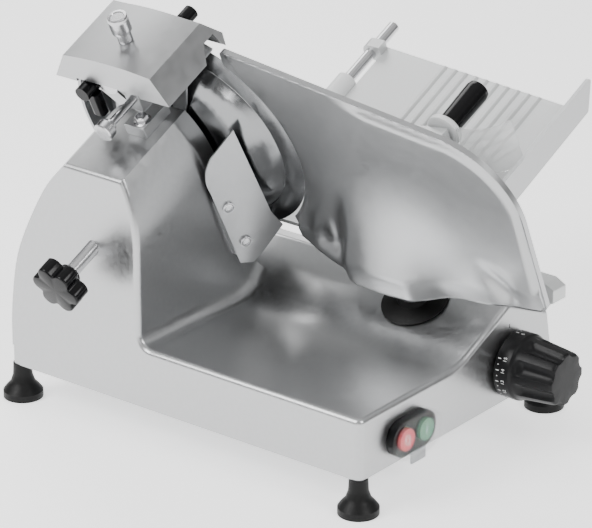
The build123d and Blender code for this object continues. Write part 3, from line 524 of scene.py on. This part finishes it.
def ring_mark(name, place, outer, inner, depth):
    """Flat raised ring."""
    rows = []
    for radius, height in ((inner, -depth), (inner, depth), (outer, depth), (outer, -depth), (inner, -depth)):
        rows.append([
            place @ Vector((radius * RING_NARROWING * math.cos(2 * math.pi * j / RING_STEPS) * MM,
                            radius * math.sin(2 * math.pi * j / RING_STEPS) * MM, height * MM))
            for j in range(RING_STEPS)
        ])
    return grid_piece(name, rows)


def button_place(x):
    """Frame on the face of the button at x, with local z toward the operator."""
    return basis(Vector((x, -230.0, 62.5)) * MM, Vector((1, 0, 0)), Vector((0, 0, 1)), -Y)


finish_piece(ring_mark("stop_sign", button_place(-101), 5.4, 3.9, 0.35), "stop", "marking")
finish_piece(mark_box("start_sign", button_place(-71), 1.8, 10.0, 0.35), "start", "marking")

# ---- star knob --------------------------------------------------------------------------------
LOBES = 6
LOBE_TURN = math.radians(12)
HUB_END = -217.5                    # height where the round hub ends and the lobes begin
HOLLOW_DEPTH = 0.26
HOLLOW_WIDTH = 0.23


def star_radius(angle, radius, height):
    """Six lobes with hollows between them; the hub behind them stays round."""
    if height > HUB_END:
        return radius
    share = ((angle - LOBE_TURN) * LOBES / (2 * math.pi)) % 1.0
    hollow = math.exp(-(((share - 0.5) / HOLLOW_WIDTH) ** 2))
    return radius * (1 - HOLLOW_DEPTH * smooth_step(6, 20, radius) * hollow)


STAR_PROFILE = [
    (7.1, -209.5), (10.4, -209.5), (11, -210.2), (11.2, -217.3), (12.5, -218), (25.8, -218), (26.9, -218.8),
    (27, -220), (27, -234), (26.7, -235.2), (25.9, -235.9), (24.8, -236.1), (0.4, -236.1),
]
finish_piece(
    lathe("star_grip", head_basis(), STAR_PROFILE, 180, star_radius), "cover_knob", "gloss_black",
    replaced=("star_knob",),
)


# ---- knurled sharpener knobs ------------------------------------------------------------------
def knurl(low, high, teeth, depth):
    """Radius function that cuts a fine knurl between two heights."""
    def radius_at(angle, radius, height):
        if low < height < high and radius > 6:
            return radius - depth * (0.5 - 0.5 * math.cos(teeth * angle))
        return radius
    return radius_at


def even_profile(points, step):
    """The profile with extra points between its own, so that a knurl has rows to bend."""
    out = [points[0]]
    for (r0, z0), (r1, z1) in zip(points, points[1:]):
        count = max(1, int(abs(z1 - z0) / step))
        out += [(r0 + (r1 - r0) * k / count, z0 + (z1 - z0) * k / count) for k in range(1, count + 1)]
    return out


TOP_PLACE = basis(at(-6, 0, -47), Y, -N, M)
TOP_PROFILE = [
    (0.3, 128), (3, 128), (3, 160.3), (6.8, 160.3), (7.2, 160.9), (7.2, 170.8), (6.6, 171.4),
    (6.6, 172.0), (9.6, 172.3), (10, 173), (10, 189.2), (9.4, 190.2), (7, 190.3), (6.4, 189.6), (0.3, 189.6),
]
finish_piece(
    lathe("top_knob_turned", TOP_PLACE, even_profile(TOP_PROFILE, 3), 144, knurl(161.2, 170.5, 36, 0.3)),
    "sharpener_knob", "bright_steel", replaced=("top_knob",),
)
SIDE_PLACE = head_basis(-5, 99, 0)
SIDE_PROFILE = [
    (0.3, -115), (8.8, -115), (10, -114), (10, -105.8), (9.4, -105), (6.6, -105), (6.6, -101.2),
    (4, -100.8), (4, -45.6), (3.4, -45), (0.3, -45),
]
finish_piece(
    lathe("side_knob_turned", SIDE_PLACE, even_profile(SIDE_PROFILE, 3), 144, knurl(-113.6, -105.9, 48, 0.3)),
    "sharpener_clamp", "bright_steel", replaced=("side_screw",),
)

# ---- bracket bolt and the deflector's screw heads ----------------------------------------------
def socket_head(name, place, body, radius, tall):
    """Domed screw head with a six-lobed socket."""

    def lobed(angle, r, height):
        return r * (1 - 0.14 * (0.5 + 0.5 * math.cos(6 * angle))) if r < radius * 0.5 else r

    profile = [
        (radius, 0), (radius, tall * 0.35), (radius * 0.93, tall * 0.7), (radius * 0.75, tall * 0.93),
        (radius * 0.56, tall), (radius * 0.47, tall), (radius * 0.45, tall * 0.9),
        (radius * 0.43, tall * 0.3), (0.2, tall * 0.3),
    ]
    finish_piece(lathe(name, place, profile, 72, lobed), body, "bright_steel")


BOLT_PLACE = basis(at(-18, 0, -74), Y, -N, M)
TOWER_TOP = 70.0                    # height of the tower's top along M
BOLT_FOOT = TOWER_TOP + 13          # the bracket's thickness above it
BOLT_PROFILE = [
    (0.2, BOLT_FOOT), (8.5, BOLT_FOOT), (8.8, BOLT_FOOT + 0.4), (8.8, BOLT_FOOT + 1.2),
    (8.3, BOLT_FOOT + 1.6), (6.5, BOLT_FOOT + 1.7), (6.5, BOLT_FOOT + 6.0), (5.9, BOLT_FOOT + 6.7),
    (4.2, BOLT_FOOT + 7.0), (0.2, BOLT_FOOT + 7.1),
]


def hex_radius(angle, radius, height):
    """Six flats above the washer."""
    if height < BOLT_FOOT + 1.65 or radius < 5:
        return radius
    return radius * math.cos(math.radians(30)) / math.cos((angle + math.pi / 6) % (math.pi / 3) - math.pi / 6)


finish_piece(
    lathe("bracket_bolt", BOLT_PLACE, BOLT_PROFILE, 72, hex_radius), "base", "bright_steel",
    replaced=("bracket_screw",),
)

DEFLECT = (N * 41 - Y * 25).normalized()      # from the tower to the blade
DEFLECT_OUT = DEFLECT.cross(M)
for i, (along, v) in enumerate(((5.2, -34.0), (9.3, -82.7))):
    place = basis(at(-62.5, v, -58) + DEFLECT * along * MM + DEFLECT_OUT * 2.3 * MM, DEFLECT, M, DEFLECT_OUT)
    socket_head(f"deflector_head_{i}", place, "base", 5.9, 2.9)


# ---- floor, light and world -------------------------------------------------------------------
floor_mesh = bpy.data.meshes.new("floor")
floor_mesh.from_pydata([(-6, -6, 0), (6, -6, 0), (6, 6, 0), (-6, 6, 0)], [], [(0, 1, 2, 3)])
floor = bpy.data.objects.new("floor", floor_mesh)
bpy.context.scene.collection.objects.link(floor)
floor_mesh.materials.append(
    new_material("floor", (0.95, 0.95, 0.95), 0, 0.6, Emission_Color=(1, 1, 1, 1), Emission_Strength=1.1)
)


def area_light(name, place, target, size, power):
    """Soft square light aimed at a point."""
    data = bpy.data.lights.new(name, "AREA")
    data.shape = "SQUARE"
    data.size = size
    data.energy = power
    lamp = bpy.data.objects.new(name, data)
    bpy.context.scene.collection.objects.link(lamp)
    lamp.location = place
    lamp.rotation_mode = "QUATERNION"
    lamp.rotation_quaternion = (Vector(target) - Vector(place)).to_track_quat("-Z", "Y")


MIDDLE = (0, 0, 0.18)
area_light("key", (-1.9, 0.9, 1.9), MIDDLE, 1.5, 62)
area_light("front", (-0.2, -2.4, 1.9), MIDDLE, 1.1, 34)
area_light("back", (1.6, 2.0, 2.4), MIDDLE, 1.8, 46)
area_light("strip", (-2.6, -1.4, 0.7), MIDDLE, 0.5, 5)

world = bpy.data.worlds.new("studio")
bpy.context.scene.world = world
world.use_nodes = True
nodes, links = world.node_tree.nodes, world.node_tree.links
direction = nodes.new("ShaderNodeTexCoord")
split = nodes.new("ShaderNodeSeparateXYZ")
links.new(direction.outputs["Generated"], split.inputs[0])
band = nodes.new("ShaderNodeValToRGB")
stops = band.color_ramp.elements
for place, level in ((0.0, 0.62), (0.18, 0.38), (0.42, 0.55), (0.62, 1.05), (0.8, 0.8), (1.0, 1.35)):
    stop = stops.new(place) if place not in (0.0, 1.0) else stops[0 if place == 0.0 else -1]
    stop.color = (level, level, level, 1)
links.new(split.outputs["Z"], band.inputs["Fac"])
links.new(band.outputs["Color"], nodes["Background"].inputs["Color"])
nodes["Background"].inputs["Strength"].default_value = 0.75
